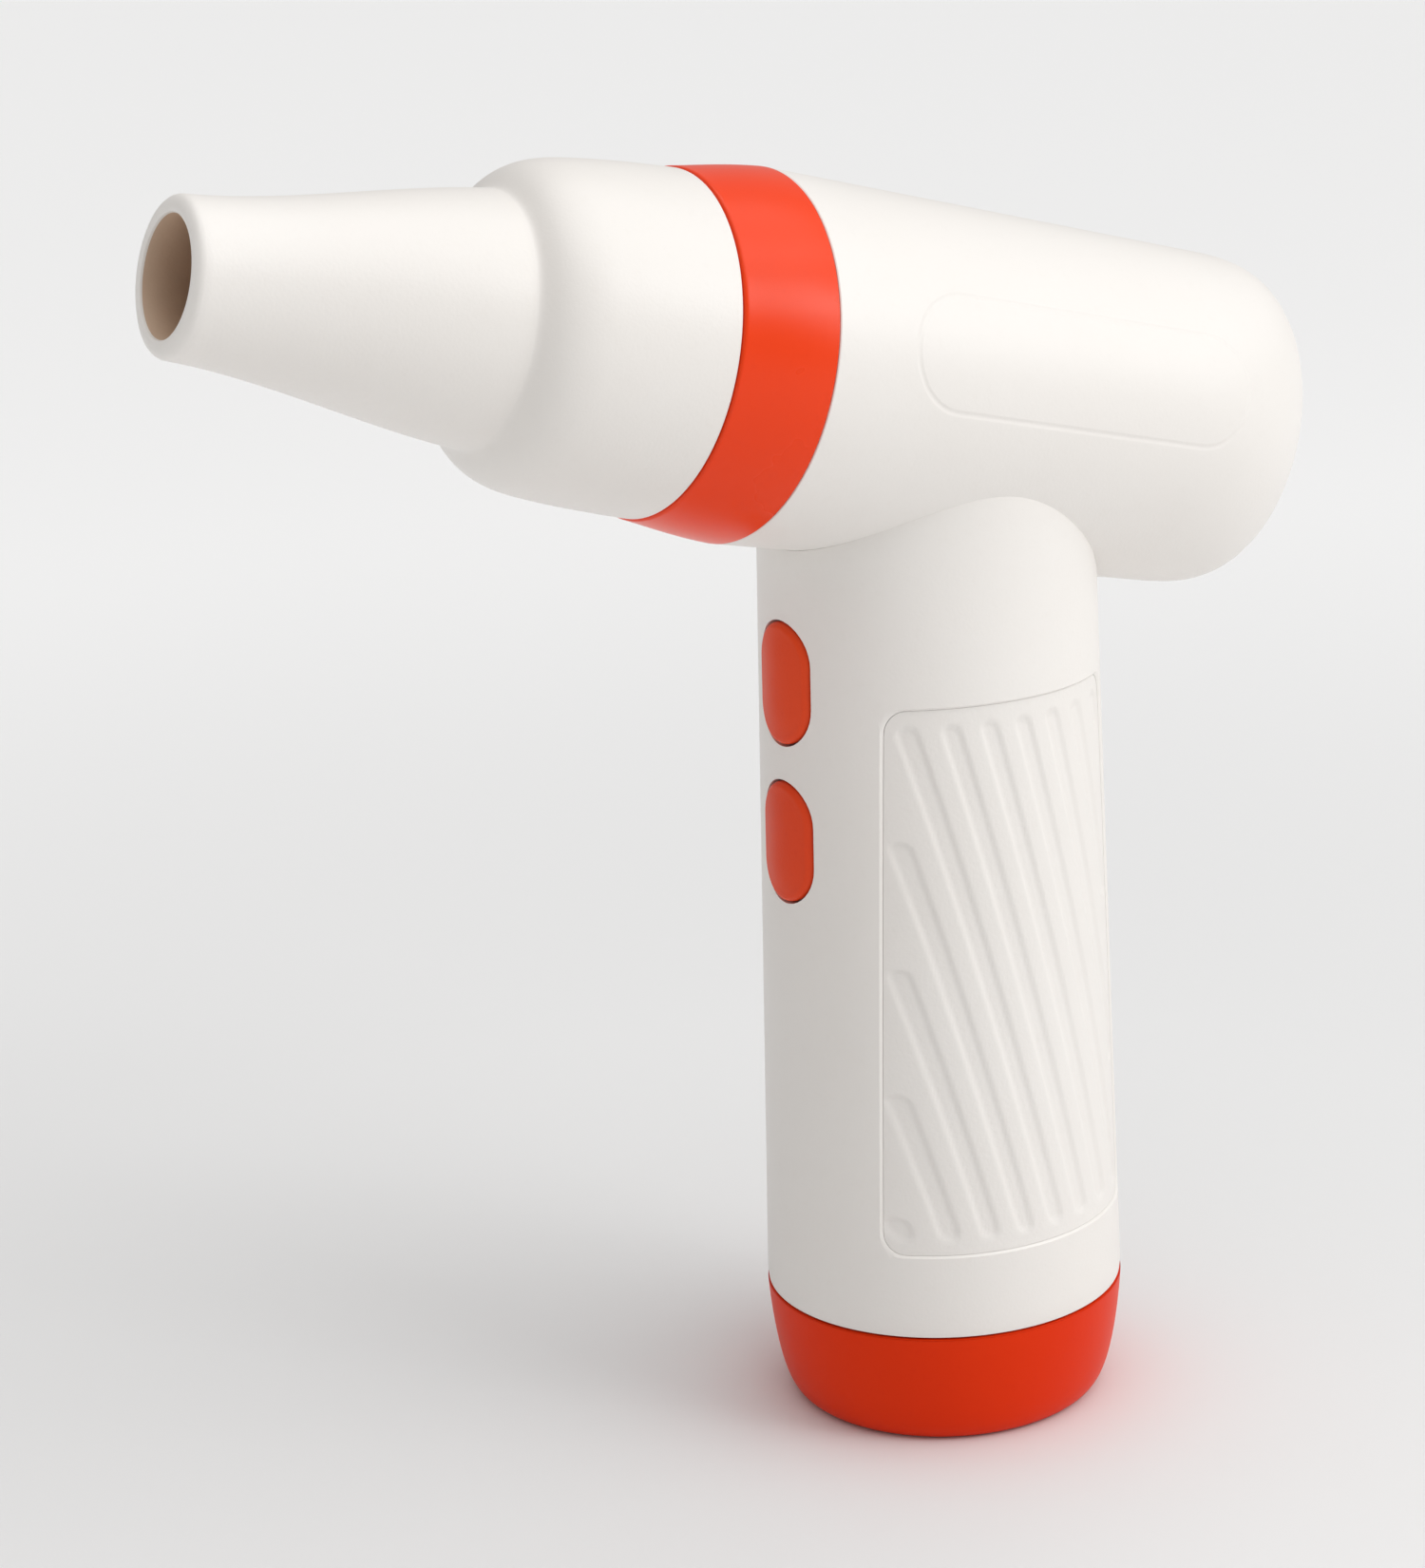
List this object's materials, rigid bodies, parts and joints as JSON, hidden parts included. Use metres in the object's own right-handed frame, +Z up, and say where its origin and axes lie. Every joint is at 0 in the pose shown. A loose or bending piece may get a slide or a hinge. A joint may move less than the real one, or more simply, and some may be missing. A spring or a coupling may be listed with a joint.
{
  "type": "cordless air duster",
  "caption": "Pistol-shaped motor air duster: tapered pull-off nozzle on a pitched fan barrel, oval battery grip with two front keys, grooved side panels and a base cap.",
  "frame": {"origin": "centre of the base cap's flat underside, which the part stands on", "axes": "+Z up the grip, +X towards the barrel's tail, nozzle towards -X, +Y across the grip"},
  "size_m": [0.1562, 0.046, 0.1652],
  "materials": {
    "warm_white_plastic": "satin",
    "orange_plastic": "satin",
    "grip_plastic": "fine matt",
    "black_plastic": "satin",
    "black_rubber": "matt",
    "grey_plastic": "satin",
    "filter_foam": "open cell",
    "circuit_board": "solder mask",
    "steel": "plain",
    "aluminium": "satin",
    "nickel": "plated",
    "copper_wire": "enamelled",
    "cell_sleeve": "shrink sleeve over a metal can",
    "insulation": "smooth",
    "clear_plastic": "clear"
  },
  "bodies": {
    "main_unit": {"barrel_housing": "warm_white_plastic", "handle_shell": "warm_white_plastic", "collar_ring": "orange_plastic", "bottom_cap": "orange_plastic", "grip_panel_left": "grip_plastic", "grip_panel_right": "grip_plastic", "damper_ring_front": "black_rubber", "damper_ring_rear": "black_rubber", "intake_filter": "filter_foam", "fan_duct": "grey_plastic", "tail_cone": "black_plastic", "motor_terminal": "black_plastic", "power_switch": "grey_plastic", "mode_switch": "grey_plastic", "battery_tray_bottom": "black_plastic", "battery_tray_top": "black_plastic", "motor_can": "aluminium", "motor_end_cap": "aluminium", "motor_stator": "steel", "winding_front": "copper_wire", "winding_rear": "copper_wire", "bearing_front": "steel", "bearing_rear": "steel", "neck_screw_left": "steel", "neck_screw_right": "steel", "usb_port_shell": "steel", "charge_light_pipe": "clear_plastic", "battery_cell_front": "cell_sleeve", "battery_cell_rear": "cell_sleeve", "bus_strip_bottom": "nickel", "bus_strip_front": "nickel", "bus_strip_rear": "nickel", "switch_board": "circuit_board", "main_board": "circuit_board", "charge_board": "circuit_board", "controller_chip": "black_plastic", "mosfet_1": "black_plastic", "mosfet_2": "black_plastic", "mosfet_3": "black_plastic", "bulk_capacitor": "aluminium", "motor_lead_1": "insulation", "motor_lead_2": "insulation", "motor_lead_3": "insulation", "battery_lead_positive": "insulation", "battery_lead_negative": "insulation"},
    "nozzle_unit": {"nozzle": "warm_white_plastic", "nozzle_seal": "black_rubber"},
    "rotor": {"rotor_shaft": "steel", "impeller": "black_plastic", "rotor_magnet": "steel"},
    "power_key": {"power_button": "orange_plastic", "power_plunger": "black_plastic"},
    "mode_key": {"mode_button": "orange_plastic", "mode_plunger": "black_plastic"}
  },
  "joints": [
    {"name": "nozzle_pull", "type": "slide", "parent": "main_unit", "child": "nozzle_unit", "axis": [-0.9757, 0, 0.2192], "range_m": [0, 0.03]},
    {"name": "rotor_spin", "type": "hinge", "parent": "main_unit", "child": "rotor", "pos_m": [0, 0, 0.134], "axis": [0.9757, 0, -0.2192], "continuous": true},
    {"name": "power_press", "type": "slide", "parent": "main_unit", "child": "power_key", "axis": [1, 0, 0], "range_m": [0, 0.0006], "stiffness_N_per_m": 1500},
    {"name": "mode_press", "type": "slide", "parent": "main_unit", "child": "mode_key", "axis": [1, 0, 0], "range_m": [0, 0.0006], "stiffness_N_per_m": 1500}
  ]
}
